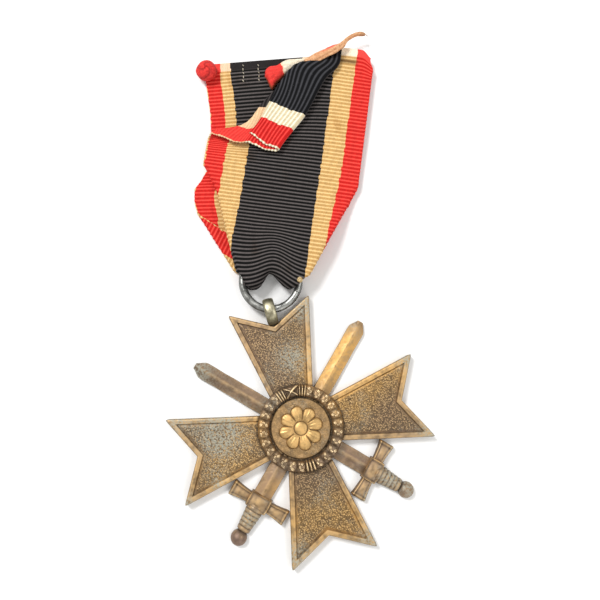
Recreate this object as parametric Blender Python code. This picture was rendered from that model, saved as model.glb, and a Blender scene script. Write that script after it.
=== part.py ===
"""A war medal: a bronze cross with crossed swords, hung by a ring from a folded, gathered ribbon.

It lies on its back. The origin is the middle of the cross's back face, +Z points out of the
front and +Y points up the top arm, towards the ribbon. Sizes below are in millimetres, and
mesh_object turns them into metres. The swords lie in channels in the cross's back and cross in
a half lap; the wreath, disc and rosette are stacked on the hub; the eyelet's foot sits in a
pocket at the notch of the top arm. The ribbon is one strip, split where it bends at the ring.
"""

import math

import bmesh
import bpy
from mathutils import Matrix, Vector

MM = 0.001
GAP = 0.06  # the solder gap between fixed pieces
BACK = 0.0  # the plane of rest, which the backs of the cross and the swords share

# the cross
ARM_REACH = 24.0  # from the centre to an arm's two tips
TIP_HALF = 8.05  # half the distance between those tips
NOTCH_REACH = 19.7  # from the centre to the notch between them
ARM_ROOT_HALF = 2.6  # an arm's half width, run back to the centre
ARM_FLARE = (TIP_HALF - ARM_ROOT_HALF) / ARM_REACH
RIM_WIDTH = 1.15
RIM_TOP = 1.9
FIELD_TOP = 1.6
HUB_RADIUS = 8.3

# the wreath, disc and rosette
WREATH_RADIUS = 6.93
WREATH_HALF_WIDTH = 1.1
WREATH_TOP = 3.2
WREATH_LEAVES = 24
DISC_RADIUS = 5.6
DISC_TOP = 1.98
ROSETTE_RADIUS = 4.2
ROSETTE_TOP = 2.75
ROSETTE_PETALS = 8

# the swords, measured along the blade from the middle of the cross
BLADE_TIP = 23.2
BLADE_SHOULDER = 21.5
BLADE_HALF_WIDTH = 1.6
BLADE_EDGE_TOP = 0.75
BLADE_RIDGE_TOP = 1.1
GUARD_CENTRE = 15.4
GUARD_BLOCK = (3.0, 4.4, 1.9)  # along the blade, across it, and its top
QUILLON_END = 5.7
QUILLON_HALF = (0.95, 1.5)  # at the block and at the end
QUILLON_TOP = 1.45
GRIP_ENDS = (16.4, 21.2)
GRIP_RADII = (1.75, 1.2)
GRIP_WRAPS = 6
HILT_AXIS_Z = 0.45
POMMEL_RADIUS = 1.5
POMMEL_CENTRE = 22.5
CHANNEL_TOP = BLADE_RIDGE_TOP + GAP
LAP_LEVEL = 0.56
UNCUT = -0.6  # where a sword's parts start before its back is cut flat

# the eyelet and the ring
EYELET_CENTRE = Vector((0.0, 22.6, 1.9))
EYELET_PATH = (2.15, 1.4)  # half height along Y and half depth along Z, at the band's middle
EYELET_BAND = (1.05, 0.45)  # half width along X and half thickness
FOOT_HALF = 0.8
FOOT_LOW = 18.9
FOOT_TOP = 1.5
RING_RADIUS = 5.45
WIRE_RADIUS = 0.72
RING_CENTRE = Vector((1.6, 28.3, EYELET_CENTRE.z))

# the ribbon: it leans clockwise from +Y, and bends along a line just past the ring
RIBBON_LEAN = math.radians(22.8)
RIBBON_UP = Vector((math.sin(RIBBON_LEAN), math.cos(RIBBON_LEAN), 0.0))
RIBBON_ACROSS = Vector((math.cos(RIBBON_LEAN), -math.sin(RIBBON_LEAN), 0.0))
BEND_AT = Vector((5.0, 34.2, 1.2))
BEND_GAP = 1.0  # from the bend's axis to the cloth on each side of it
BACK_LAYER = (0.2, 1.1)
FRONT_LAYER = (1.3, 2.2)
FLAP_LAYER = (2.4, 3.4)
LOOP_LAYER = (0.1, 3.5)
RING_CLEARANCE = 0.25
LOOP_EDGE = [
    (11.9, 30.0), (8.9, 27.6), (8.0, 26.6), (5.9, 25.8), (3.6, 28.2), (1.3, 29.8),
    (-1.0, 28.2), (-3.2, 27.6), (-4.7, 29.9), (-5.0, 31.4), (-4.6, 36.3),
]
FRONT_EDGE = [
    (17.0, 36.4), (19.6, 39.6), (21.9, 41.1), (23.6, 43.9), (26.2, 49.5), (29.6, 57.7),
    (33.2, 66.5), (33.3, 69.6), (31.0, 70.6), (28.0, 70.8), (26.4, 69.4), (20.9, 69.1),
    (17.0, 69.4), (14.6, 67.5), (11.6, 65.4), (7.7, 62.4), (2.5, 59.7), (-2.3, 59.8),
    (-4.2, 57.5), (-4.8, 53.8), (-4.0, 48.6), (-4.0, 41.5),
]
BACK_EDGE = [
    (16.5, 38.0), (22.0, 44.5), (25.5, 58.0), (27.2, 69.8), (20.7, 71.8), (16.6, 73.4),
    (4.7, 75.4), (1.0, 75.2), (-0.6, 73.5), (-1.5, 65.4), (-2.6, 60.0), (-5.4, 55.0),
    (-8.3, 50.6), (-9.0, 46.9), (-8.5, 44.6), (-7.0, 39.8),
]
FLAP_EDGE = [
    (10.2, 53.3), (13.3, 56.0), (16.6, 59.5), (20.4, 63.0), (24.6, 66.9), (26.7, 68.4),
    (26.2, 69.5), (20.9, 69.3), (17.0, 69.6), (14.6, 67.7), (11.6, 65.6), (7.7, 62.6),
    (2.5, 59.9), (-2.3, 60.0), (-0.2, 58.8), (1.7, 56.8), (3.7, 55.9), (7.6, 55.3),
]
CORNER_EDGE = [
    (12.3, 67.4), (14.2, 68.8), (16.4, 70.2), (20.6, 71.3), (16.5, 72.7), (12.8, 72.0),
    (11.3, 70.4),
]
ROLL_CENTRE = Vector((0.1, 73.6, 1.75))
ROLL_RADIUS = 1.65
TAIL_ROUTE = [
    (20.9, 70.9, 2.3), (23.6, 71.2, 2.6), (26.0, 71.7, 2.9), (28.2, 72.4, 3.0),
    (30.2, 73.2, 2.8), (31.9, 73.6, 2.6), (33.3, 73.5, 2.5),
]
TAIL_RADII = (0.5, 0.85, 0.85, 0.6, 0.45, 0.4, 0.3)
THREADS = {"thread_left": (7.1, 72.2), "thread_right": (10.9, 71.3)}
THREAD_SIZE = (0.35, 4.0, 0.25)


def clear_scene():
    for item in list(bpy.data.objects):
        bpy.data.objects.remove(item)


def material(name, colour, roughness, metallic):
    made = bpy.data.materials.new(name)
    made.use_nodes = True
    shader = made.node_tree.nodes["Principled BSDF"]
    shader.inputs["Base Color"].default_value = (*colour, 1.0)
    shader.inputs["Roughness"].default_value = roughness
    shader.inputs["Metallic"].default_value = metallic
    return made


def mesh_object(name, points, faces, look=None):
    """An object of triangles facing outwards, whose points are given in millimetres."""
    mesh = bpy.data.meshes.new(name)
    mesh.from_pydata([Vector(p) * MM for p in points], [], faces)
    shell = bmesh.new()
    shell.from_mesh(mesh)
    bmesh.ops.triangulate(shell, faces=shell.faces)
    bmesh.ops.recalc_face_normals(shell, faces=shell.faces)
    shell.to_mesh(mesh)
    shell.free()
    mesh.shade_smooth()
    mesh.set_sharp_from_angle(angle=math.radians(35))
    if look:
        mesh.materials.append(look)
    made = bpy.data.objects.new(name, mesh)
    bpy.context.scene.collection.objects.link(made)
    return made


def prism(name, outline, low, high, look=None):
    """An outline in the XY plane, extruded from low to high."""
    count = len(outline)
    points = [(x, y, low) for x, y in outline] + [(x, y, high) for x, y in outline]
    sides = [(i, (i + 1) % count, count + (i + 1) % count, count + i) for i in range(count)]
    caps = [tuple(range(count)), tuple(range(count, 2 * count))]
    return mesh_object(name, points, sides + caps, look)


def loft(name, rings, closed, look=None):
    """A skin over rings of equally many points, joined end to end or capped."""
    count = len(rings[0])
    points = [p for ring in rings for p in ring]
    spans = len(rings) if closed else len(rings) - 1
    faces = []
    for i in range(spans):
        here = i * count
        there = (i + 1) % len(rings) * count
        for k in range(count):
            step = (k + 1) % count
            faces.append((here + k, here + step, there + step, there + k))
    if not closed:
        last = len(points) - count
        faces += [tuple(range(count)), tuple(range(last, len(points)))]
    return mesh_object(name, points, faces, look)


def box(name, low, high):
    corners = [(low[0], low[1]), (high[0], low[1]), (high[0], high[1]), (low[0], high[1])]
    return prism(name, corners, low[2], high[2])


def circle(radius, steps, centre=(0.0, 0.0)):
    turns = [2 * math.pi * i / steps for i in range(steps)]
    return [(centre[0] + radius * math.cos(t), centre[1] + radius * math.sin(t)) for t in turns]


def combine(target, other, operation):
    """Cuts or joins with a helper that is never shown itself."""
    other.hide_render = True
    other.display_type = "WIRE"
    change = target.modifiers.new(other.name, "BOOLEAN")
    change.operation = operation
    change.solver = "EXACT"
    change.object = other


def move_origin(made, pivot):
    """Puts the object's origin on its joint, leaving its shape where it is."""
    made.data.transform(Matrix.Translation(-pivot * MM))
    made.location = pivot * MM


def inset(outline, distance):
    """An anticlockwise outline moved inwards by the same distance at every edge."""
    moved = []
    for i, corner in enumerate(outline):
        here = Vector(corner)
        before = (here - Vector(outline[i - 1])).normalized()
        after = (Vector(outline[(i + 1) % len(outline)]) - here).normalized()
        inward = (Vector((-before.y, before.x)) + Vector((-after.y, after.x))).normalized()
        reach = distance / inward.dot(Vector((-before.y, before.x)))
        moved.append(tuple(here + inward * reach))
    return moved


def cross_outline():
    """Four flared arms with a notch in each end, anticlockwise."""
    root = ARM_ROOT_HALF / (1 - ARM_FLARE)
    arm = [(root, -root), (ARM_REACH, -TIP_HALF), (NOTCH_REACH, 0.0), (ARM_REACH, TIP_HALF)]
    outline = []
    for quarter in range(4):
        turn = Matrix.Rotation(quarter * math.pi / 2, 2)
        outline += [tuple(turn @ Vector(point)) for point in arm]
    return outline


def build_cross(look):
    outline = cross_outline()
    cross = prism("cross", outline, 0.0, RIM_TOP, look)
    field = prism("field_cutter", inset(outline, RIM_WIDTH), FIELD_TOP, RIM_TOP + 1)
    combine(cross, field, "DIFFERENCE")
    hub = prism("hub_cutter", circle(HUB_RADIUS, 64), FIELD_TOP, RIM_TOP + 2)
    combine(cross, hub, "DIFFERENCE")
    half = BLADE_HALF_WIDTH + 0.2 + GAP
    for name, angle in (("channel_left", 45), ("channel_right", -45)):
        channel = box(name, (-half, -ARM_REACH, -1.0), (half, ARM_REACH, CHANNEL_TOP))
        channel.rotation_euler.z = math.radians(angle)
        combine(cross, channel, "DIFFERENCE")
    foot_half = FOOT_HALF + GAP
    pocket_low = (-foot_half, FOOT_LOW - GAP, -1.0)
    pocket = box("foot_pocket", pocket_low, (foot_half, ARM_REACH, FOOT_TOP + GAP))
    combine(cross, pocket, "DIFFERENCE")
    return cross


def build_wreath(look):
    """A band of overlapping leaves: the section swells once a leaf and is lower on its inside."""
    steps = WREATH_LEAVES * 4
    base = FIELD_TOP + GAP
    rings = []
    for i in range(steps):
        angle = 2 * math.pi * i / steps
        swell = 0.88 + 0.12 * math.cos(WREATH_LEAVES * angle)
        half = WREATH_HALF_WIDTH * swell
        top = base + (WREATH_TOP - base) * swell
        section = [(-half, base), (half, base), (half * 1.05, base + 0.6 * (top - base))]
        section += [(half * 0.55, top), (-half * 0.55, top), (-half, base + 0.6 * (top - base))]
        out = Vector((math.cos(angle), math.sin(angle)))
        rings.append([(*(out * (WREATH_RADIUS + r)), z) for r, z in section])
    return loft("wreath", rings, True, look)


def build_disc(look):
    return prism("centre_disc", circle(DISC_RADIUS, 64), FIELD_TOP + GAP, DISC_TOP, look)


def build_rosette(look):
    """Eight equal petals round a button, the same seen in a mirror."""
    steps = ROSETTE_PETALS * 8
    base = DISC_TOP + GAP
    shares = [(1.0, 0.0), (1.0, 0.45), (0.72, 0.95), (0.42, 0.7), (0.3, 1.0)]
    rings = []
    for share, rise in shares:
        ring = []
        for i in range(steps):
            angle = 2 * math.pi * i / steps
            petal = 0.8 + 0.2 * abs(math.cos(ROSETTE_PETALS * angle / 2)) ** 0.6
            radius = ROSETTE_RADIUS * share * (petal if share > 0.5 else 0.8)
            height = base + rise * (ROSETTE_TOP - base)
            ring.append((radius * math.cos(angle), radius * math.sin(angle), height))
        rings.append(ring)
    return loft("centre_rosette", rings, False, look)


def blade_section(along, half, ridge):
    return [
        (-half, along, UNCUT), (half, along, UNCUT), (half, along, BLADE_EDGE_TOP),
        (0.0, along, ridge), (-half, along, BLADE_EDGE_TOP),
    ]


def guard_outline():
    """Two quillons that flare to their ends with hollow sides, across a blade along Y."""
    steps = 6
    side = []
    for i in range(steps + 1):
        share = i / steps
        half = QUILLON_HALF[0] + (QUILLON_HALF[1] - QUILLON_HALF[0]) * share ** 2.2
        side.append((QUILLON_END * share, half))
    right = [(x, -y) for x, y in side] + side[::-1]
    left = [(-x, -y) for x, y in right][1:-1]
    return [(x, y - GUARD_CENTRE) for x, y in right[:-1] + left[:-1]]


def hilt_ring(along, radius, steps=14):
    return [(x, along, HILT_AXIS_Z + z) for x, z in circle(radius, steps)]


def grip_rings():
    """A tapered grip with one raised ring for each turn of its wire."""
    steps = GRIP_WRAPS * 4
    rings = []
    start = GRIP_ENDS[0] - 0.6
    for i in range(steps + 1):
        share = i / steps
        wrap = 0.1 * math.cos(2 * math.pi * GRIP_WRAPS * share)
        radius = GRIP_RADII[0] + (GRIP_RADII[1] - GRIP_RADII[0]) * share - wrap
        rings.append(hilt_ring(-start - (GRIP_ENDS[1] - start) * share, radius))
    return rings


def pommel_rings():
    steps = 9
    turns = [math.pi * (i + 0.4) / (steps + 0.8) for i in range(steps + 1)]
    return [
        hilt_ring(-POMMEL_CENTRE + POMMEL_RADIUS * math.cos(t), POMMEL_RADIUS * math.sin(t))
        for t in turns
    ]


def build_sword(name, angle, lap, look):
    """One sword with its blade along +Y before it is turned; lap is the span cut out of it."""
    blade = loft(name, [
        blade_section(BLADE_TIP, 0.5, 0.8),
        blade_section(BLADE_SHOULDER, BLADE_HALF_WIDTH, BLADE_RIDGE_TOP),
        blade_section(-GUARD_CENTRE, BLADE_HALF_WIDTH + 0.15, BLADE_RIDGE_TOP),
    ], False, look)
    block_along, block_across, block_top = GUARD_BLOCK
    far = (block_across / 2, block_along / 2 - GUARD_CENTRE, block_top)
    near = (-block_across / 2, -block_along / 2 - GUARD_CENTRE, UNCUT - 0.2)
    helpers = [
        prism(name + "_quillons", guard_outline(), UNCUT - 0.1, QUILLON_TOP),
        box(name + "_block", near, far),
        loft(name + "_grip", grip_rings(), False),
        loft(name + "_pommel", pommel_rings(), False),
    ]
    for helper in helpers:
        combine(blade, helper, "UNION")
    reach = ARM_REACH + 4
    under = box(name + "_under", (-reach, -reach, -5.0), (reach, reach, BACK))
    half = BLADE_HALF_WIDTH + 0.2 + GAP
    notch = box(name + "_lap", (-half - 1, -half, lap[0]), (half + 1, half, lap[1]))
    for cutter in (under, notch):
        combine(blade, cutter, "DIFFERENCE")
    for turned in (blade, under, notch, *helpers):
        turned.rotation_euler.z = math.radians(angle)
    return blade


def build_eyelet(look):
    """A flat oval loop standing square to the cross, its hole along X, on a foot."""
    steps = 28
    rings = []
    for i in range(steps):
        angle = 2 * math.pi * i / steps
        out = Vector((0.0, math.cos(angle), math.sin(angle)))
        middle = EYELET_CENTRE + Vector((0, out.y * EYELET_PATH[0], out.z * EYELET_PATH[1]))
        section = circle(1.0, 10)
        rings.append([
            tuple(middle + Vector((EYELET_BAND[0] * x, 0, 0)) + out * EYELET_BAND[1] * r)
            for x, r in section
        ])
    eyelet = loft("eyelet", rings, True, look)
    base = EYELET_CENTRE.y - EYELET_PATH[0]
    foot = box("eyelet_foot", (-FOOT_HALF, FOOT_LOW, 0.1), (FOOT_HALF, base + 0.3, FOOT_TOP))
    combine(eyelet, foot, "UNION")
    return eyelet


def torus(name, wire, look=None):
    rings = []
    for x, y in circle(1.0, 48):
        out = Vector((x, y, 0.0))
        middle = RING_CENTRE + out * RING_RADIUS
        rings.append([tuple(middle + out * r + Vector((0, 0, z))) for r, z in circle(wire, 12)])
    return loft(name, rings, True, look)


def bend_line(side, reach):
    """A point beside the bend: side is +1 towards the ribbon and -1 towards the ring."""
    point = BEND_AT + RIBBON_UP * BEND_GAP * side + RIBBON_ACROSS * reach
    return (point.x, point.y)


def build_loop(look):
    """The gathers that wrap the ring, with a channel for its wire."""
    outline = [bend_line(-1, -10.3), *LOOP_EDGE[::-1], bend_line(-1, 8.0)]
    loop = prism("ribbon_loop", outline, *LOOP_LAYER, look)
    combine(loop, torus("wire_channel", WIRE_RADIUS + RING_CLEARANCE), "DIFFERENCE")
    return loop


def build_front(look):
    outline = [bend_line(1, -9.6), bend_line(1, 8.6), *FRONT_EDGE]
    return prism("ribbon_front", outline, *FRONT_LAYER, look)


def build_back(look):
    """The back layer, with its rolled left corner and its folded right corner joined on."""
    outline = [bend_line(1, -11.4), bend_line(1, 7.0), *BACK_EDGE]
    back = prism("ribbon_back", outline, *BACK_LAYER, look)
    corner = prism("back_corner", CORNER_EDGE, BACK_LAYER[1] - 0.3, FRONT_LAYER[1])
    combine(back, corner, "UNION")
    rings = []
    for i in range(9):
        turn = math.pi * (i + 0.5) / 9
        height = ROLL_CENTRE.z - ROLL_RADIUS * math.cos(turn)
        around = circle(ROLL_RADIUS * math.sin(turn), 16, ROLL_CENTRE.xy)
        rings.append([(x, y, height) for x, y in around])
    combine(back, loft("back_roll", rings, False), "UNION")
    return back


def build_flap(look):
    return prism("ribbon_flap", FLAP_EDGE, *FLAP_LAYER, look)


def build_tail(look):
    """The twisted, frayed end of the strip."""
    rings = []
    for i, (here, radius) in enumerate(zip(TAIL_ROUTE, TAIL_RADII)):
        before = Vector(TAIL_ROUTE[max(i - 1, 0)])
        after = Vector(TAIL_ROUTE[min(i + 1, len(TAIL_ROUTE) - 1)])
        side = (after - before).cross(Vector((0, 0, 1))).normalized()
        upright = side.cross(after - before).normalized()
        section = circle(radius, 10)
        rings.append([tuple(Vector(here) + side * a + upright * 0.7 * b) for a, b in section])
    return loft("ribbon_tail", rings, False, look)


def build_thread(name, centre, look):
    """A row of old stitching that still holds to the back layer."""
    low = BACK_LAYER[1] + GAP
    half_wide, half_long = THREAD_SIZE[0] / 2, THREAD_SIZE[1] / 2
    near = (centre[0] - half_wide, centre[1] - half_long, low)
    far = (centre[0] + half_wide, centre[1] + half_long, low + THREAD_SIZE[2])
    thread = box(name, near, far)
    thread.data.materials.append(look)
    return thread


def main():
    clear_scene()
    bronze = material("bronze", (0.30, 0.20, 0.11), 0.5, 0.9)
    gilt = material("gilt", (0.55, 0.38, 0.16), 0.4, 0.9)
    nickel = material("nickel", (0.35, 0.33, 0.24), 0.45, 0.9)
    steel = material("dark_steel", (0.16, 0.16, 0.16), 0.45, 0.9)
    cloth = material("ribbon", (0.05, 0.045, 0.05), 0.9, 0.0)
    faded = material("faded_ribbon", (0.72, 0.42, 0.2), 0.95, 0.0)
    cotton = material("cotton", (0.62, 0.5, 0.34), 0.9, 0.0)
    build_cross(bronze)
    build_wreath(bronze)
    build_disc(bronze)
    build_rosette(gilt)
    build_sword("sword_left", 45, (LAP_LEVEL, BLADE_RIDGE_TOP + 1), bronze)
    build_sword("sword_right", -45, (-1.0, LAP_LEVEL + GAP), bronze)
    build_eyelet(nickel)
    move_origin(torus("suspension_ring", WIRE_RADIUS, steel), RING_CENTRE)
    move_origin(build_loop(cloth), RING_CENTRE)
    for build in (build_front, build_back, build_flap):
        move_origin(build(cloth), BEND_AT)
    move_origin(build_tail(faded), BEND_AT)
    for name, centre in THREADS.items():
        move_origin(build_thread(name, centre, cotton), BEND_AT)


main()
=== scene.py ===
"""Looks of a war medal: a struck bronze cross with crossed swords, hung by a ring from a striped,
ribbed ribbon that has been folded, gathered and worn. Sizes are in millimetres in the medal's own
frame: +Y up the top arm, +Z out of the front. make_piece turns them into metres."""

import math

import bmesh
import bpy
import numpy as np
from mathutils import Matrix, Vector


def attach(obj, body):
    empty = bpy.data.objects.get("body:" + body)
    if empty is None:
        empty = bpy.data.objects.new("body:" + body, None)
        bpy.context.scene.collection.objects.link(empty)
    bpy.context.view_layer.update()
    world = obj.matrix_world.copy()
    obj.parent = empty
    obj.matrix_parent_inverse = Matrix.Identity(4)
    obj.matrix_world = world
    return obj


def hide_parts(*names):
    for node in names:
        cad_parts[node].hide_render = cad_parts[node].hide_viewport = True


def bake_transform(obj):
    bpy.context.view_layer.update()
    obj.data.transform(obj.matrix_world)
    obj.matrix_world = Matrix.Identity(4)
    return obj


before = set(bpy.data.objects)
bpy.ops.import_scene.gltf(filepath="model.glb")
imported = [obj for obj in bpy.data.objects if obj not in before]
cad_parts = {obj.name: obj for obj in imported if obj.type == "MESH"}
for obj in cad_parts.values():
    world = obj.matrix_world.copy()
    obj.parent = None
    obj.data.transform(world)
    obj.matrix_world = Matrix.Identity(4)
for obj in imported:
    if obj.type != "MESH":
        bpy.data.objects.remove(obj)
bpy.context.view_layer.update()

MM = 0.001


# ---------------------------------------------------------------- numbers and grids

def smooth(x, low, high):
    """0 below low, 1 above high, and an S between them."""
    t = np.clip((np.asarray(x, float) - low) / (high - low), 0, 1)
    return t * t * (3 - 2 * t)


def scatter(i, j, seed):
    """A repeatable random number from 0 to 1 for each pair of whole numbers."""
    wild = np.sin(i * 127.1 + j * 311.7 + seed * 74.7) * 43758.5453
    return wild - np.floor(wild)


def waves(x, y, size, seed):
    """Smooth noise from -1 to 1, with features of about the given size."""
    x, y = np.asarray(x, float) / size, np.asarray(y, float) / size
    i, j = np.floor(x), np.floor(y)
    a, b = smooth(x - i, 0, 1), smooth(y - j, 0, 1)
    low = scatter(i, j, seed) * (1 - a) + scatter(i + 1, j, seed) * a
    high = scatter(i, j + 1, seed) * (1 - a) + scatter(i + 1, j + 1, seed) * a
    return 2 * (low * (1 - b) + high * b) - 1


def grains(x, y, size, seed):
    """Distance to the nearest of a field of scattered points, as a share of their spacing."""
    x, y = x / size, y / size
    i, j = np.floor(x), np.floor(y)
    nearest = np.full(x.shape, 9.0)
    for a in (-1, 0, 1):
        for b in (-1, 0, 1):
            px = i + a + scatter(i + a, j + b, seed)
            py = j + b + scatter(i + a, j + b, seed + 5)
            nearest = np.minimum(nearest, np.hypot(x - px, y - py))
    return nearest


def grid_faces(rows, columns, close_rows=False, close_columns=False, first=0, flip=False):
    """Quads between the points of a grid, which are numbered row by row."""
    r = np.arange(rows if close_rows else rows - 1)[:, None]
    c = np.arange(columns if close_columns else columns - 1)[None, :]
    up, across = (r + 1) % rows, (c + 1) % columns
    quads = [r * columns + c, r * columns + across, up * columns + across, up * columns + c]
    faces = np.stack([np.broadcast_to(q, (r.size, c.size)) for q in quads], -1).reshape(-1, 4)
    return (faces[:, ::-1] if flip else faces) + first


def bell(x, centre, width):
    """1 at the centre, dying away on both sides of it."""
    return np.exp(-(((x - centre) / width) ** 2))


def arch(x):
    """The upper half of a circle over -1 to 1, and 0 outside."""
    return np.clip(1 - x ** 2, 0, 1) ** 0.5


def full_turn(count):
    """Angles evenly round a circle."""
    return np.linspace(0, 2 * math.pi, count, endpoint=False)


def over_flat(x, y, top, base):
    """The points of a surface and of the flat underside below it, as one grid."""
    x, y, top = np.broadcast_arrays(x, y, top)
    lower = np.stack([x, y, base + 0 * top], -1)
    return np.concatenate([np.stack([x, y, top], -1), lower[:, ::-1]], 1)


def both_sides(marks):
    """Marks of a sheet, carried over to its other side."""
    return {key: np.concatenate([value, value[:, ::-1]], 1) for key, value in marks.items()}


def make_piece(name, shells, look, body, stands_for=(), marks=None, weld=False, angle=50):
    """One object from several shells of (points, faces); marks are numbers kept on its points."""
    points, faces, start = [], [], 0
    for shell_points, shell_faces in shells:
        shell_points = np.asarray(shell_points, float).reshape(-1, 3)
        points.append(shell_points)
        faces += [[start + i for i in face] for face in np.asarray(shell_faces).tolist()]
        start += len(shell_points)
    mesh = bpy.data.meshes.new(name)
    mesh.from_pydata((np.concatenate(points) * MM).tolist(), [], faces)
    for key, values in (marks or {}).items():
        kept = mesh.attributes.new(key, "FLOAT", "POINT")
        kept.data.foreach_set("value", np.asarray(values, np.float32).ravel())
    if weld:
        work = bmesh.new()
        work.from_mesh(mesh)
        bmesh.ops.remove_doubles(work, verts=work.verts, dist=1e-6)
        bmesh.ops.dissolve_degenerate(work, dist=1e-7, edges=work.edges)
        bmesh.ops.recalc_face_normals(work, faces=work.faces)
        work.to_mesh(mesh)
        work.free()
    mesh.shade_smooth()
    mesh.set_sharp_from_angle(angle=math.radians(angle))
    mesh.materials.append(look)
    made = bpy.data.objects.new(name, mesh)
    bpy.context.scene.collection.objects.link(made)
    if body:
        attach(made, body)
    if stands_for:
        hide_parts(*stands_for)
    return made


def turned(points, degrees):
    """Points turned about +Z."""
    a = math.radians(degrees)
    turn = np.array([[math.cos(a), -math.sin(a), 0], [math.sin(a), math.cos(a), 0], [0, 0, 1]])
    return np.asarray(points) @ turn.T


# ---------------------------------------------------------------- materials

def add(tree, kind, inputs=None, **settings):
    """A shader node; an input is a number, or another node's output. Returns its first output."""
    made = tree.nodes.new("ShaderNode" + kind)
    for key, value in settings.items():
        setattr(made, key, value)
    for key, value in (inputs or {}).items():
        if isinstance(value, bpy.types.NodeSocket):
            tree.links.new(value, made.inputs[key])
        else:
            made.inputs[key].default_value = value
    return made.outputs[0]


def maths(tree, operation, a, b=0.0, clamp=False):
    return add(tree, "Math", {0: a, 1: b}, operation=operation, use_clamp=clamp)


def times(tree, a, b):
    return maths(tree, "MULTIPLY", a, b)


def ramp(tree, value, low, high, start=0.0, end=1.0):
    """Maps low..high to start..end along an S."""
    inputs = {"Value": value, 1: low, 2: high, 3: start, 4: end}
    return add(tree, "MapRange", inputs, interpolation_type="SMOOTHSTEP")


def mixed(tree, share, first, second, how="MIX"):
    made = tree.nodes.new("ShaderNodeMix")
    made.data_type = "RGBA"
    made.blend_type = how
    for index, value in ((0, share), (6, first), (7, second)):
        if isinstance(value, bpy.types.NodeSocket):
            tree.links.new(value, made.inputs[index])
        else:
            made.inputs[index].default_value = value if index == 0 else (*value, 1.0)
    return made.outputs[2]


def kept(tree, name):
    """A number kept on the mesh's points."""
    made = tree.nodes.new("ShaderNodeAttribute")
    made.attribute_name = name
    return made.outputs["Fac"]


def spots(tree, scale, detail=3.0, shift=0.0):
    """Noise from 0 to 1 over the piece, scale features a metre."""
    place = add(tree, "TexCoord")
    place = place.node.outputs["Object"]
    if shift:
        place = add(tree, "VectorMath", {0: place, 1: (shift, shift, shift)}, operation="ADD")
    return add(tree, "TexNoise", {"Vector": place, "Scale": scale, "Detail": detail})


def shader_of(name):
    made = bpy.data.materials.new(name)
    made.use_nodes = True
    return made, made.node_tree, made.node_tree.nodes["Principled BSDF"]


def set_inputs(tree, shader, **inputs):
    for key, value in inputs.items():
        socket = shader.inputs[key.replace("_", " ")]
        if isinstance(value, bpy.types.NodeSocket):
            tree.links.new(value, socket)
        else:
            socket.default_value = value


def old_metal(name, base, bright, dark, patina, patina_share, metallic=0.85, rough=0.5):
    """Aged metal, coloured by numbers kept on the mesh: the wear mark shows it bright, for real rubbing and
    for painted highlights; the grime mark darkens it, for real dirt and for painted shade; gild golden,
    tarnish purplish brown, patina grey, and stipple gives it a fine struck grain."""
    made, tree, shader = shader_of(name)
    coarse = spots(tree, 260.0)
    fine = spots(tree, 2600.0, 5.0)
    mottle = spots(tree, 900.0, 4.0, 0.4)
    place = add(tree, "TexCoord").node.outputs["Object"]
    grain = add(tree, "TexVoronoi", {"Vector": place, "Scale": 3900.0})
    grain = ramp(tree, grain, 0.15, 0.62, 1.0, 0.0)
    body = mixed(tree, ramp(tree, coarse, 0.35, 0.65), base, [c * 0.74 for c in base])
    gilded = times(tree, kept(tree, "gild"), ramp(tree, mottle, 0.34, 0.62, 0.35, 1.0))
    body = mixed(tree, gilded, body, (0.72, 0.41, 0.11))
    tarnished = times(tree, kept(tree, "tarnish"), ramp(tree, mottle, 0.36, 0.64, 0.3, 1.0))
    body = mixed(tree, tarnished, body, (0.21, 0.145, 0.125))
    body = mixed(tree, ramp(tree, mottle, 0.5, 0.7, 0.0, 0.5), body, [c * 1.5 for c in base])
    # The wear mark: real rubbing, and painted highlights on raised edges and crests.
    worn = times(tree, kept(tree, "wear_and_highlight"), ramp(tree, mottle, 0.3, 0.62, 0.25, 1.0))
    body = mixed(tree, worn, body, bright)
    struck = kept(tree, "stipple")
    body = mixed(tree, times(tree, struck, times(tree, grain, 0.5)), body, bright)
    pits = times(tree, maths(tree, "SUBTRACT", 1.0, grain), 0.72)
    body = mixed(tree, times(tree, struck, pits), body, [c * 0.3 for c in base])
    spread = maths(tree, "ADD", kept(tree, "patina"), ramp(tree, coarse, 0.5, 0.76, 0.0, 0.35))
    spread = times(tree, spread, ramp(tree, fine, 0.38, 0.58, 0.04, patina_share))
    body = mixed(tree, spread, body, patina)
    # The grime mark: real dirt, and painted shade in grooves, gaps and on undersides.
    grime_and_shade = times(tree, kept(tree, "grime_and_shade"), ramp(tree, fine, 0.25, 0.65, 1.0, 0.55))
    body = mixed(tree, grime_and_shade, body, dark)
    roughness = ramp(tree, mottle, 0.3, 0.7, rough - 0.1, rough + 0.14)
    dull = maths(tree, "ADD", grime_and_shade, spread, True)
    roughness = maths(tree, "ADD", roughness, times(tree, dull, 0.22), True)
    shine = maths(tree, "SUBTRACT", metallic, times(tree, dull, 0.45), True)
    height = maths(tree, "ADD", fine, times(tree, grain, struck))
    bump = add(tree, "Bump", {"Strength": 0.5, "Distance": 0.00007, "Height": height})
    set_inputs(tree, shader, Base_Color=body, Roughness=roughness, Metallic=shine, Normal=bump)
    return made


def blobs(x, y, places, size):
    """The sum of soft round patches, each an (x, y) or an (x, y, its own size)."""
    total = 0 * x
    for place in places:
        reach = place[2] if len(place) > 2 else size
        total = total + np.exp(-((x - place[0]) ** 2 + (y - place[1]) ** 2) / reach ** 2)
    return np.clip(total, 0, 1)


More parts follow.
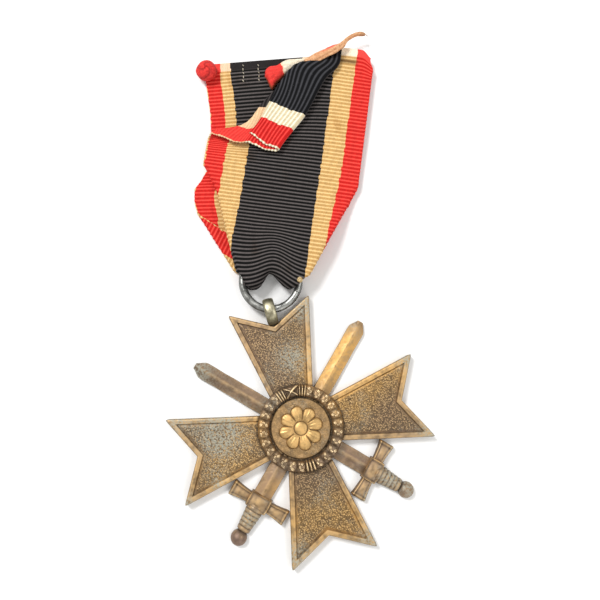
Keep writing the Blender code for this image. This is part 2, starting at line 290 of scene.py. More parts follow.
def age_marks(x, y):
    """Where this cross has gone golden, purplish brown or grey, as marks for old_metal."""
    gild = blobs(x, y, [
        (5.4, 12), (4, 9, 2), (-11.8, -1), (-16.5, -4), (10.4, 1.4), (12, 4), (1.5, -15.5), (-4.6, -17),
        (9.5, 9.8), (12.5, 13), (16, 5.5), (-9, 3, 2.5), (20, 6, 2.5), (5, -19, 3), (-7, -9.5, 2.5),
    ], 3.6)
    tarnish = blobs(x, y, [
        (-2.4, 16), (0, 11), (-6.6, 7.6, 3), (-5.2, 21, 3), (15.5, -1), (0.3, -10), (19, -7, 3),
        (-7, -7.6, 3), (8.3, -7.5), (-16.5, -16.5, 2), (-9, 9, 3), (-13, 13, 4), (-16, 16, 2.5),
        (13, -14, 3), (-6.3, 17, 2.2),
    ], 4.0)
    patina = blobs(x, y, [
        (-14, 5.2, 4), (-15.8, 15.6, 3.2), (8, 22, 2.6), (6.5, 21, 2), (23.4, -7, 2.5),
        (17, -15.5, 3), (-17.3, -5.5, 1.2), (-21.6, 7.2, 2.5), (1.8, 13, 3), (-23.4, -7.4, 1.6),
        (-7, -21.5, 3), (22.6, 7, 2), (7.7, -22.6, 2.5), (-3.7, 5.5, 1.5), (-15, 1.5, 3.5),
    ], 3.0)
    return {"gild": gild * 0.9, "tarnish": tarnish * 0.8 * (1 - gild) * (1 - 0.6 * patina), "patina": patina}


BRONZE = old_metal(
    "bronze", (0.30, 0.20, 0.115), (0.80, 0.54, 0.25), (0.026, 0.017, 0.011), (0.43, 0.44, 0.37), 0.68
)
GILT = old_metal(
    "gilt", (0.56, 0.35, 0.14), (0.84, 0.56, 0.23), (0.05, 0.03, 0.015), (0.42, 0.34, 0.2), 0.3
)
# The wreath's bronze: its whitish bright colour paints highlights on the leaf crowns, as well as rubbing.
RUBBED_HIGHLIT_BRONZE = old_metal(
    "bronze_rubbed_highlit", (0.31, 0.21, 0.12), (0.98, 0.76, 0.45), (0.022, 0.014, 0.009), (0.37, 0.36, 0.30), 0.5,
    rough=0.38,
)
BRASS = old_metal(
    "pale_brass", (0.25, 0.225, 0.135), (0.78, 0.72, 0.52), (0.05, 0.033, 0.018), (0.26, 0.24, 0.17), 0.4,
    rough=0.36,
)
STEEL = old_metal(
    "ring_steel", (0.115, 0.12, 0.115), (0.5, 0.5, 0.47), (0.018, 0.016, 0.014),
    (0.17, 0.15, 0.12), 0.35, rough=0.34,
)


# ---------------------------------------------------------------- the cross

ARM_REACH = 24.0
NOTCH_REACH = 19.7
TIP_HALF = 8.05
ROOT_HALF = 2.6
FLARE = (TIP_HALF - ROOT_HALF) / ARM_REACH
NOTCH_RISE = (ARM_REACH - NOTCH_REACH) / TIP_HALF
SIDE_COS = math.cos(math.atan(FLARE))
NOTCH_COS = math.cos(math.atan(NOTCH_RISE))
RIM_LINES = np.array([0.0, 0.05, 0.13, 0.26, 0.5, 0.78, 0.9, 0.97, 1.06, 1.15, 1.3])
RIM_TOP = 1.9
FIELD_TOP = 1.58
HUB_RADIUS = 8.05
CHANNEL_HALF = 1.86
CHANNEL_TOP = 1.16
GROOVE_TOP = 1.46
CORNER = 0.55
CORNER_PULL = 1.15
FIELD_ROWS = 112
FIELD_COLUMNS = 61


def arm_points():
    """Rows and columns of one arm along +Y; the outer ones follow its rim all round."""
    rows = FIELD_ROWS + len(RIM_LINES)
    sides = len(RIM_LINES)
    columns = FIELD_COLUMNS + 2 * sides
    inner = RIM_LINES[-1]
    from_end = np.zeros(rows)
    from_end[FIELD_ROWS:] = RIM_LINES[::-1]
    share = np.clip(np.arange(rows) / FIELD_ROWS, 0, 1)[:, None]
    y = np.broadcast_to(share * NOTCH_REACH, (rows, columns)).copy()
    middle = (np.arange(columns) - sides + 1) / (FIELD_COLUMNS + 1) * 2 - 1
    for _ in range(6):
        half = np.minimum(y, ROOT_HALF + FLARE * y)
        fit = np.minimum(1, half / 4)
        x = np.clip(middle, -1, 1) * (half - inner / SIDE_COS * fit)
        for k, line in enumerate(RIM_LINES):
            x[:, k] = -(half - line / SIDE_COS * fit)[:, k]
            x[:, -1 - k] = (half - line / SIDE_COS * fit)[:, -1 - k]
        end = NOTCH_REACH + NOTCH_RISE * np.abs(x)
        straight = share * (NOTCH_REACH - inner / NOTCH_COS)
        bent = straight + smooth(share, 0.4, 1.0) * (end - NOTCH_REACH)
        y = np.where(np.arange(rows)[:, None] < FIELD_ROWS, bent, end - from_end[:, None] / NOTCH_COS)
    half = np.minimum(y, ROOT_HALF + FLARE * y)
    to_side = (half - np.abs(x)) * SIDE_COS
    to_end = (end - y) * NOTCH_COS
    a, b = np.clip(CORNER - to_side, 0, 1), np.clip(CORNER - to_end, 0, 1)
    pull = 1 - np.maximum(a, b) / np.maximum(np.hypot(a, b), 1e-9)
    x = x - np.sign(x) * a * pull * CORNER_PULL
    y = y - b * pull * CORNER_PULL
    return x, y, to_side, to_end


def arm_top(x, y, to_side, to_end, seed):
    """Height of the struck face, with how worn it is and how dark, from real dirt and painted shade."""
    edge = np.minimum(to_side, to_end)
    radius = np.hypot(x, y)
    lip = np.clip(edge / 0.3, 0, 1)
    rim = RIM_TOP - 0.3 * (1 - np.sqrt(np.clip(1 - (1 - lip) ** 2, 0, 1))) - 0.05 * smooth(edge, 0.5, 0.9)
    rim += 0.03 * waves(x, y, 1.7, seed)
    groove = GROOVE_TOP + (FIELD_TOP - GROOVE_TOP) * smooth(edge, 1.1, 1.5)
    inside = smooth(edge, 0.9, 1.08)
    calm = smooth(radius, HUB_RADIUS, HUB_RADIUS + 1.6)
    pebble = np.clip(1 - (grains(x, y, 0.42, seed) / 0.72) ** 2, 0, 1)
    lines = np.cos(np.arctan2(x, y) * 150) * (1 - calm)
    field = groove + inside * smooth(edge, 1.1, 1.35) * (0.055 * pebble * (0.35 + 0.65 * calm) + 0.03 * lines)
    field += 0.03 * waves(x, y, 3.1, seed + 3)
    top = rim * (1 - inside) + field * inside
    hub = smooth(radius, HUB_RADIUS - 0.25, HUB_RADIUS)
    top = FIELD_TOP * (1 - hub) + top * hub
    wear_and_highlight = (1 - inside) * (0.25 + 0.4 * bell(edge, 0.3, 0.2) + 0.3 * smooth(edge, 0.6, 0.85))
    wear_and_highlight += inside * 0.15 * pebble ** 2
    broken = 0.55 + 0.45 * waves(x, y, 2.2, seed + 7)
    # Painted shade in the groove inside the rim, between the grains, along the outer edge and at the wreath's
    # foot, mixed with real dirt.
    grime_and_shade = broken * bell(edge, 1.05, 0.1) + inside * 0.3 * (1 - smooth(pebble, 0.15, 0.6))
    grime_and_shade += (0.35 + 0.5 * smooth(waves(x, y, 3.5, seed + 9), -0.2, 0.5)) * (1 - smooth(edge, 0.0, 0.16))
    grime_and_shade += 0.8 * (1 - smooth(radius, HUB_RADIUS, HUB_RADIUS + 0.45))
    return top, wear_and_highlight, np.clip(grime_and_shade, 0, 1)


def build_cross():
    """Four arms whose roots meet in the middle, hollowed behind for the swords."""
    x, y, to_side, to_end = arm_points()
    rows, columns = x.shape
    shells, wear_and_highlight, grime_and_shade, stipple = [], [], [], []
    for quarter in range(4):
        top, worn, grimy_and_shaded = arm_top(x, y, to_side, to_end, 11 + quarter)
        groove = smooth(np.abs(x - y) / math.sqrt(2), CHANNEL_HALF, CHANNEL_HALF + 0.2)
        groove = np.minimum(groove, smooth(np.abs(x + y) / math.sqrt(2), CHANNEL_HALF, CHANNEL_HALF + 0.2))
        back = CHANNEL_TOP * (1 - groove)
        upper = turned(np.stack([x, y, top], -1).reshape(-1, 3), -90 * quarter)
        lower = turned(np.stack([x, y, back], -1).reshape(-1, 3), -90 * quarter)
        faces = np.concatenate([
            grid_faces(rows, columns, flip=False),
            grid_faces(rows, columns, first=rows * columns, flip=True),
            wall_faces(rows, columns, np.minimum(y[:, 0], y[:, -1])),
        ])
        shells.append((np.concatenate([upper, lower]), faces))
        wear_and_highlight.append(np.concatenate([worn.ravel(), np.full(x.size, 0.2)]))
        grime_and_shade.append(np.concatenate([grimy_and_shaded.ravel(), np.full(x.size, 0.25)]))
        struck = smooth(np.minimum(to_side, to_end), 1.1, 1.6).ravel()
        stipple.append(np.concatenate([struck, 0.4 * struck]))
    every = np.concatenate([points for points, _ in shells])
    marks = age_marks(every[:, 0], every[:, 1])
    for key, parts in (("wear_and_highlight", wear_and_highlight), ("grime_and_shade", grime_and_shade), ("stipple", stipple)):
        marks[key] = np.concatenate(parts)
    return make_piece("cross_struck", shells, BRONZE, "cross", ["cross"], marks, weld=True)


def wall_faces(rows, columns, side_y):
    """The sides and the end of an arm; rows nearer the middle than its root touch another arm."""
    last = rows * columns
    faces = []
    for i in range(rows - 1):
        if side_y[i + 1] <= ROOT_HALF / (1 - FLARE):
            continue
        a, b = i * columns, (i + 1) * columns
        faces.append((a, b, last + b, last + a))
        a, b = a + columns - 1, b + columns - 1
        faces.append((b, a, last + a, last + b))
    edge = (rows - 1) * columns
    for j in range(columns - 1):
        faces.append((edge + j, edge + j + 1, last + edge + j + 1, last + edge + j))
    return np.array(faces)


# ---------------------------------------------------------------- wreath, disc and rosette

WREATH_RADIUS = 6.93
WREATH_HALF = 1.12
WREATH_BASE = 1.66
WREATH_TOP = 3.2
CLUSTERS = 26
DISC_RADIUS = 5.6
ROSETTE_RADIUS = 4.2


def leaf(along, across, length, width, tilt):
    """Height from 0 to 1 of a pointed leaf with a rib, lying at a tilt."""
    c, s = math.cos(tilt), math.sin(tilt)
    a = (along * c + across * s) / length
    b = (-along * s + across * c) / width
    dome = np.clip(1 - a * a - b * b / np.clip(1 - a * a, 0.05, 1), 0, 1) ** 0.5
    return dome * (1 - 0.22 * np.exp(-((b * 3.5) ** 2)))


def build_wreath():
    """Clusters of leaves round a band, tied with a crossed band at the top and bars below."""
    steps, columns = 900, 40
    angle = full_turn(steps)[:, None]
    v = np.linspace(-1, 1, columns)[None, :]
    across = v * WREATH_HALF
    around = (angle + 0 * v) * WREATH_RADIUS
    pitch = 2 * math.pi * WREATH_RADIUS / CLUSTERS
    relief = np.zeros(around.shape)
    for k in range(CLUSTERS):
        along = (around - (k + 0.5) * pitch + math.pi * WREATH_RADIUS) % (2 * math.pi * WREATH_RADIUS)
        along = along - math.pi * WREATH_RADIUS
        jitter = 0.5 * (scatter(k, 3, 1) - 0.5)
        lump = 0.62 * arch(along / (0.56 * pitch))
        shapes = [
            lump,
            leaf(along - 0.12, across - 0.55, 0.74, 0.40, 0.6 + jitter),
            leaf(along - 0.12, across + 0.55, 0.74, 0.40, -0.6 + jitter),
            0.96 * leaf(along + 0.3, across, 0.5, 0.46, jitter),
        ]
        for shape in shapes:
            relief = np.maximum(relief, shape)
    top_angle = (angle - math.pi / 2 + math.pi) % (2 * math.pi) - math.pi + 0 * v
    low_angle = (angle + math.pi / 2 + math.pi) % (2 * math.pi) - math.pi + 0 * v
    here = top_angle * WREATH_RADIUS
    for sign in (-1, 1):
        band = arch((here * 0.8 + sign * across) / 0.34)
        relief = np.where(np.abs(here) < 1.3, np.maximum(relief * 0.8, 1.05 * band), relief)
        for bar in (1.55, 2.05, 2.55):
            near = np.abs(here - sign * bar) < 0.25
            relief = np.where(near, 0.25 + 0.7 * arch((here - sign * bar) / 0.2), relief)
    here = low_angle * WREATH_RADIUS
    for bar in (-0.62, 0.0, 0.62):
        near = np.abs(here - bar) < 0.31
        relief = np.where(near, 0.2 + 0.85 * arch((here - bar) / 0.24), relief)
    crown = np.sqrt(np.clip(1 - np.abs(v) ** 3.2, 0, 1))
    top = WREATH_BASE + (WREATH_TOP - WREATH_BASE) * crown * (0.38 + 0.62 * relief)
    swell = 1 + 0.12 * (relief - 0.7) * np.abs(v)
    radius = WREATH_RADIUS + across * swell + 0.04 * waves(around, across, 2.0, 8)
    ring = over_flat(radius * np.cos(angle), radius * np.sin(angle), top, WREATH_BASE)
    faces = grid_faces(steps, 2 * columns, True, True, flip=False)
    # Painted highlights on the crowns of the leaves, along with rubbing; painted shade between the lumps,
    # along both edges and underneath, with dirt.
    wear_and_highlight = np.concatenate([smooth(relief, 0.66, 0.92) * smooth(1 - np.abs(v), 0.0, 0.3), 0 * relief], 1)
    dirt_and_shade = (1 - smooth(relief, 0.3, 0.66)) * 0.62 + 0.55 * smooth(np.abs(v), 0.92, 1.0)
    grime_and_shade = np.concatenate([np.clip(dirt_and_shade, 0, 1), 1 + 0 * relief], 1)
    marks = age_marks(ring[..., 0], ring[..., 1])
    marks.update({"wear_and_highlight": wear_and_highlight, "grime_and_shade": grime_and_shade})
    return make_piece("wreath_leaves", [(ring, faces)], RUBBED_HIGHLIT_BRONZE, "cross", ["wreath"], marks)


def polar_shell(radii, steps, height, base):
    """A round closed piece from a height over polar points, flat below."""
    radii = np.asarray(radii, float)[:, None]
    angle = full_turn(steps)[None, :]
    reach, top = height(radii, angle)
    upper = np.stack([reach * np.cos(angle), reach * np.sin(angle), top], -1)
    rim = upper[-1:].copy()
    rim[..., 2] = base
    centre = rim * [0.02, 0.02, 1]
    return np.concatenate([upper, rim, centre]), reach, top


def with_rim(marks, below):
    """Marks of a round piece's top, and one value for its rim and its underside."""
    return np.concatenate([np.clip(marks, 0, 1), np.full((2, marks.shape[1]), float(below))])


def build_disc():
    """A hammered disc, a little dished, with painted shade where it meets the wreath."""
    def height(r, a):
        x, y = r * np.cos(a), r * np.sin(a)
        flat = 1.93 + 0.05 * smooth(r, 2.0, 5.4) + 0.04 * waves(x, y, 0.5, 2) + 0.05 * waves(x, y, 1.4, 4)
        return r + 0 * a, flat - 0.25 * smooth(r, 5.4, DISC_RADIUS) + 0 * a
    steps = 160
    radii = np.concatenate([[0.02], np.linspace(0.1, DISC_RADIUS, 56)])
    points, reach, top = polar_shell(radii, steps, height, WREATH_BASE)
    faces = grid_faces(len(points), steps, False, True, flip=True)
    # Painted shade round the edge, where the disc meets the wreath.
    grime_and_shade = with_rim(0.7 * smooth(reach, 5.3, DISC_RADIUS), 1)
    wear_and_highlight = with_rim(0.08 + 0 * top, 0)
    marks = {"wear_and_highlight": wear_and_highlight, "grime_and_shade": grime_and_shade, "gild": 0.3 + 0 * wear_and_highlight, "stipple": 0.35 + 0 * wear_and_highlight}
    return make_piece("disc_hammered", [(points, faces)], BRONZE, "cross", ["centre_disc"], marks)


def build_rosette():
    """Eight domed petals round a button, each with a mid rib."""
    petals, steps = 8, 256
    def height(r, a):
        share = r / ROSETTE_RADIUS
        lobe = np.abs(np.cos(petals * a / 2))
        petal = 0.78 + 0.22 * lobe ** 0.7
        inner = smooth(share, 0.34, 0.5)
        reach = r * (1 - inner + inner * petal)
        dome = 2.2 + 0.38 * np.sin(np.clip((share - 0.28) / 0.72, 0, 1) * math.pi) ** 0.7
        dome = dome - 0.2 * (1 - smooth(lobe, 0.0, 0.42)) * inner + 0.06 * smooth(lobe, 0.93, 1.0) * inner
        button = 2.32 + 0.4 * arch(share / 0.3)
        top = np.where(share < 0.3, button, dome)
        return reach, top - 0.3 * smooth(share, 0.93, 1.0)
    radii = np.concatenate([[0.02], np.linspace(0.12, ROSETTE_RADIUS, 60)])
    points, reach, top = polar_shell(radii, steps, height, 1.9)
    faces = grid_faces(len(points), steps, False, True, flip=True)
    angle = full_turn(steps)[None, :]
    lobe = np.abs(np.cos(petals * angle / 2))
    share = radii[:, None] / ROSETTE_RADIUS
    # Painted shade in the gaps between the petals, round their outer edge and round the button.
    grime_and_shade = (1 - smooth(lobe, 0.0, 0.3)) * smooth(share, 0.35, 0.5) + smooth(share, 0.95, 1.0)
    grime_and_shade = grime_and_shade + bell(share, 0.3, 0.025)
    wear_and_highlight = with_rim(0.5 * smooth(top, 2.3, 2.6), 0)
    marks = {"wear_and_highlight": wear_and_highlight, "grime_and_shade": with_rim(grime_and_shade, 1), "patina": 0 * wear_and_highlight}
    return make_piece("rosette_petals", [(points, faces)], GILT, "cross", ["centre_rosette"], marks)


# ---------------------------------------------------------------- the swords

GUARD_Y = -15.4
GUARD_HALF = 5.7
SWORD_BACK = 0.02


def skin(rings):
    """Points and faces of a tube through rings of equal size, its ends drawn in to a point."""
    rings = np.asarray(rings, float)
    ends = rings[[0, -1]].mean(1, keepdims=True) + 0 * rings[[0, -1]]
    rings = np.concatenate([ends[:1], rings, ends[1:]])
    return rings, grid_faces(len(rings), rings.shape[1], False, True, flip=True)


def blade_rings():
    """A flat diamond blade with a mid ridge and a chiselled tip, from the guard outwards."""
    along = np.concatenate([np.linspace(-16, 21.3, 75), [21.6, 22.0, 22.5, 22.9, 23.15]])
    rings = []
    for y in along:
        half = 1.6 + 0.15 * smooth(-y, 0, 16)
        half = half * (1 - 0.66 * smooth(y, 21.2, 23.4)) + 0.04 * waves(y, 0, 2.2, 3)
        ridge = 1.1 - 0.25 * smooth(y, 21.4, 23.2)
        edge = 0.72
        right = [
            (half, SWORD_BACK), (half, edge - 0.14), (half - 0.07, edge), (half - 0.3, edge + 0.02),
            (0.5, ridge - 0.12), (0.16, ridge - 0.02), (0.0, ridge),
        ]
        left = [(-x, z) for x, z in right[-2::-1]]
        rings.append([(x, y, z) for x, z in [left[-1], *right, *left[:-1]]])
    return rings


def guard_shell():
    """Quillons with hollow sides and raised edges; rows run from one end to the other."""
    rows, columns = 97, 25
    across = np.linspace(-GUARD_HALF, GUARD_HALF, rows)[:, None]
    v = np.linspace(-1, 1, columns)[None, :]
    share = np.abs(across) / GUARD_HALF
    half = 0.95 + 0.55 * share ** 2.2 - 0.22 * smooth(share, 0.97, 1.0)
    bevel = smooth(1 - np.abs(v), 0.0, 0.2)
    lip = bell(1 - np.abs(v), 0.22, 0.12)
    ends = smooth(1 - share, 0.0, 0.05)
    pillow = 0.22 * np.clip(1 - (v / 0.62) ** 2, 0, 1) * np.clip(1 - ((share - 0.62) / 0.26) ** 2, 0, 1)
    top = 0.95 + 0.34 * bevel * ends + 0.16 * lip * ends + pillow
    top += 0.09 * bell(share, 0.93, 0.035) * bevel
    points = over_flat(across + 0 * v, GUARD_Y + v * half, top, SWORD_BACK)
    # Painted highlights on the raised edges and the pillows, with rubbing; painted shade inside the edges and
    # on the sides, with dirt.
    rim = bell(np.abs(v), 0.8, 0.1) + bell(share, 0.95, 0.03)
    wear_and_highlight = np.concatenate([np.clip(0.12 + 0.6 * rim + 1.6 * pillow, 0, 1), 0 * rim], 1)
    dirt_and_shade = 0.6 * bell(np.abs(v), 0.58, 0.12) + 0.6 * bell(share, 0.88, 0.03)
    dirt_and_shade = dirt_and_shade + 0.8 * smooth(np.abs(v), 0.9, 1.0)
    dirt_and_shade = np.concatenate([dirt_and_shade, 0 * dirt_and_shade], 1)
    return points, grid_faces(rows, 2 * columns, False, True, flip=True), wear_and_highlight, dirt_and_shade


def block_shell():
    """A pillow-shaped block with a thin raised edge over the middle of the guard."""
    rows, columns = 45, 33
    u = np.linspace(-1, 1, rows)[:, None]
    v = np.linspace(-1, 1, columns)[None, :]
    x = 2.2 * u * (1 - 0.05 * v ** 2)
    y = GUARD_Y + 1.5 * v * (1 - 0.04 * u ** 2)
    edge = np.minimum(1 - np.abs(u), 1 - np.abs(v))
    side = smooth(edge, 0.0, 0.07)
    top = 1.35 + 0.36 * side + 0.2 * bell(edge, 0.11, 0.05)
    top += 0.3 * (1 - u ** 2) ** 1.5 * (1 - v ** 2) ** 1.5
    points = over_flat(x, y, np.where(edge <= 1e-6, SWORD_BACK, top), SWORD_BACK)
    # Painted highlights on the middle of the pillow and on its raised edge, with rubbing; painted shade just
    # inside the edge and on the sides, with dirt.
    high = 0.55 * (1 - u ** 2) ** 2 * (1 - v ** 2) ** 2
    wear_and_highlight = np.concatenate([0.1 + high + 0.75 * bell(edge, 0.11, 0.06), 0 * top], 1)
    dirt_and_shade = 0.8 * bell(edge, 0.26, 0.08) + 0.7 * (edge < 0.03)
    dirt_and_shade = np.concatenate([dirt_and_shade, 0 * dirt_and_shade], 1)
    return points, grid_faces(rows, 2 * columns, False, True, flip=True), wear_and_highlight, dirt_and_shade


def hilt_rings():
    """A wire-wrapped grip that narrows to a collar and a ball pommel, flat behind."""
    along = np.linspace(16.0, 23.95, 190)
    rings, wraps = [], []
    around = full_turn(40)
    for y in along:
        share = np.clip((y - 16.3) / 4.8, 0, 1)
        wrap = np.abs(np.sin(math.pi * 6 * share)) ** 0.5
        grip = 1.62 - 0.5 * share + 0.13 * wrap * (0 < share < 1)
        ball = math.sqrt(max(1.5 ** 2 - (y - 22.5) ** 2, 0.0))
        radius = max(grip * (1 - smooth(y, 21.05, 21.45)), ball if y > 21.15 else 0, 0.3)
        z = np.maximum(0.45 + radius * np.sin(around) * 1.02, SWORD_BACK)
        rings.append(np.stack([radius * np.cos(around), 0 * around - y, z], -1))
        # Painted shade in the grooves between the wraps and at the collar, with dirt.
        dirt_and_shade = 0.9 * (1 - wrap) if 0 < share < 1 else 0.7 * math.exp(-((y - 21.3) / 0.2) ** 2)
        wraps.append(np.full(around.size, dirt_and_shade))
    return np.array(rings), np.array(wraps)


def build_sword(name, angle, node, seed):
    """One sword, made with its blade along +Y and then turned."""
    shells, wear_and_highlight, grime_and_shade = [], [], []
    blade = np.array(blade_rings())
    points, faces = skin(blade)
    shells.append((points, faces))
    # Painted highlights along the ridge and the edges, with rubbing; painted shade on the low sides of the
    # blade and a little on its flats.
    ridge = smooth(points[..., 2], 0.95, 1.08)
    side = smooth(np.abs(points[..., 0]), 1.2, 1.6)
    wear_and_highlight.append(0.05 + 0.3 * ridge + 0.3 * side)
    grime_and_shade.append(0.15 * (1 - ridge) * (1 - side) + 0.7 * (points[..., 2] < 0.66))
    for points, faces, worn, grimy_and_shaded in (guard_shell(), block_shell()):
        shells.append((points, faces))
        wear_and_highlight.append(worn)
        grime_and_shade.append(grimy_and_shaded)
    rings, wraps = hilt_rings()
    points, faces = skin(rings)
    shells.append((points, faces[:, ::-1]))
    wraps = np.concatenate([wraps[:1], wraps, wraps[-1:]])
    # Painted highlights on the crests of the wraps, with rubbing; painted shade in their grooves and on the
    # low sides, with dirt.
    wrapped = smooth(points[..., 1], -21.3, -21.1)
    wear_and_highlight.append(wrapped * 0.45 * (1 - wraps) * smooth(points[..., 2], 0.6, 1.6))
    grime_and_shade.append(np.clip(wraps * 1.1 + 0.7 * (points[..., 2] < 0.5), 0, 1))
    shells = [(turned(np.asarray(p).reshape(-1, 3), angle), f) for p, f in shells]
    every = np.concatenate([p for p, _ in shells])
    x, y = every[:, 0], every[:, 1]
    marks = age_marks(x, y)
    silvered = bell(np.hypot(x, y), 18.6, 1.7) * (y < 0)
    marks["patina"] = marks["patina"] + silvered + 0.3 * smooth(waves(x, y, 3.0, seed), 0.3, 0.8)
    browned = 0.45 * (y < 0) * (1 - silvered) * (1 - marks["patina"])
    marks["tarnish"] = np.clip(marks["tarnish"] + browned, 0, 1)
    marks["wear_and_highlight"] = np.concatenate([w.ravel() for w in wear_and_highlight])
    dull = 0.34 * blobs(x, y, [(-14, 14)], 6.0)
    marks["grime_and_shade"] = np.clip(np.concatenate([g.ravel() for g in grime_and_shade]) + dull, 0, 1)
    return make_piece(name, shells, BRONZE, "cross", [node], marks, angle=40)


# ---------------------------------------------------------------- the eyelet and the ring

EYELET_CENTRE = np.array([0.0, 22.6, 1.9])
RING_CENTRE = np.array([1.6, 28.3, 1.9])
RING_RADIUS = 5.45
WIRE_RADIUS = 0.72


def build_eyelet():
    """A flat oval loop standing square to the cross, on a foot in the notch."""
    rings = []
    steps, sides = 96, 28
    b = full_turn(sides)
    for a in full_turn(steps):
        out = np.array([0, math.cos(a), math.sin(a)])
        middle = EYELET_CENTRE + out * [0, 2.15, 1.4]
        wide = np.sign(np.cos(b)) * np.abs(np.cos(b)) ** 0.8
        thick = np.sign(np.sin(b)) * np.abs(np.sin(b)) ** 0.9
        rings.append(middle + np.outer(1.05 * wide, [1, 0, 0]) + np.outer(0.45 * thick, out))
    rings = np.array(rings)
    loop = (rings, grid_faces(steps, sides, True, True))
    foot = []
    for y, size in ((18.95, 0.5), (19.05, 0.75), (19.3, 0.82), (20.2, 0.85), (20.9, 0.8)):
        foot.append(np.stack([size * np.cos(b), y + 0 * b, 0.78 + 0.66 * np.sin(b)], -1))
    foot = skin(foot)
    every = np.concatenate([rings.reshape(-1, 3), foot[0].reshape(-1, 3)])
    # Painted highlight along the top of the loop and its upper end; the foot is darker.
    low = 1 - smooth(every[:, 1], 20.3, 21.4)
    wear_and_highlight = 0.7 * smooth(every[:, 2], 3.2, 3.75) + 0.3 * smooth(every[:, 1], 23.5, 25)
    marks = {"wear_and_highlight": wear_and_highlight, "grime_and_shade": 0.8 * low, "patina": 0.2 + 0 * low}
    shells = [loop, foot]
    return make_piece("eyelet_loop", shells, BRASS, "cross", ["eyelet"], marks, angle=70)


def build_ring():
    """Round wire bent to a ring, its two ends butted together at the lower right."""
    gap = 0.012
    turns = np.linspace(gap, 2 * math.pi - gap, 260) - math.radians(38)
    around = full_turn(28)
    rings = []
    for t in turns:
        out = np.array([math.cos(t), math.sin(t), 0])
        size = WIRE_RADIUS * (1 + 0.03 * waves(t * RING_RADIUS, 0, 1.2, 4))
        middle = RING_CENTRE + out * (RING_RADIUS + 0.05 * waves(t * RING_RADIUS, 1, 6, 6))
        flat, high = np.outer(size * np.cos(around), out), np.outer(size * np.sin(around), [0, 0, 1])
        rings.append(middle + flat + high)
    cut_ends = [end * 0.25 + end.mean(0) * 0.75 for end in (rings[0], rings[-1])]
    points, faces = skin([cut_ends[0], *rings, cut_ends[1]])
    # Painted highlight along the top of the wire and painted shade along its underside.
    top = smooth(points[..., 2], 2.1, 2.6)
    low = 1 - smooth(points[..., 2], 1.4, 2.3)
    marks = {"wear_and_highlight": 0.8 * top, "grime_and_shade": 0.75 * low, "patina": 0.3 * (1 - top)}
    return make_piece("ring_wire", [(points, faces)], STEEL, "ring", ["suspension_ring"], marks)


# ---------------------------------------------------------------- the ribbon

WIDTH = 31.0
RIB = 0.79
UP = np.array([0.3875, 0.9219])
ACROSS = np.array([0.9219, -0.3875])
LEFT_EDGE = -26.1
END = 77.0
HEM = 8.2
BACK_END = -24.6
BACK_ZERO = 23.8
EDGE_ALONG = np.array([0.965, -0.262])
EDGE_UP = np.array([0.262, 0.965])
TURN_REACH = 0.9
TURN_LENGTH = 4.4
FRONT_HEIGHT = 1.6
BACK_HEIGHT = 0.3
FLAP_START = (-2.6, 59.6)
GATHER_HEIGHT = 4.25
RING_LEFT = -11.7
RING_RIGHT = 0.6
BACK_LEFT = [
    (-10.8, 30), (-8.9, 46), (-9, 46.7), (-8.9, 48.1), (-8.3, 50.5), (-6.8, 51.7), (-4.9, 53.8),
    (-3, 58), (-2.3, 61.4), (-1.5, 65.4), (-0.8, 72), (0.5, 76.2),
]
BACK_RIGHT = [(18.5, 22), (21, 40), (24.5, 47), (26.5, 54), (28, 60.5), (29, 66.5), (27.5, 71.8)]


def along_curve(corners, distance):
    """The point at a distance along a line through corners, run on straight past both ends."""
    corners = np.array(corners, float)
    corners = np.concatenate([
        [corners[0] - 20 * (corners[1] - corners[0]) / np.linalg.norm(corners[1] - corners[0])],
        corners,
        [corners[-1] + 20 * (corners[-1] - corners[-2]) / np.linalg.norm(corners[-1] - corners[-2])],
    ])
    steps = np.concatenate([[0], np.cumsum(np.linalg.norm(np.diff(corners, axis=0), axis=1))]) - 20
    return np.stack([np.interp(distance, steps, corners[:, k]) for k in (0, 1)], -1)


def fold(place, start, towards, radius):
    """Rolls what is left of a line over it, onto the other side. Returns places and how far they rise."""
    start, towards = np.array(start, float), np.array(towards, float)
    run = (towards - start) / np.linalg.norm(towards - start)
    out = np.array([-run[1], run[0]])
    past = (place - start) @ out
    arc = np.clip(past, 0, math.pi * radius)
    moved = radius * np.sin(arc / radius) - np.clip(past - math.pi * radius, 0, None)
    rise = radius * (1 - np.cos(arc / radius))
    return np.where((past > 0)[..., None], place + (moved - past)[..., None] * out, place), rise


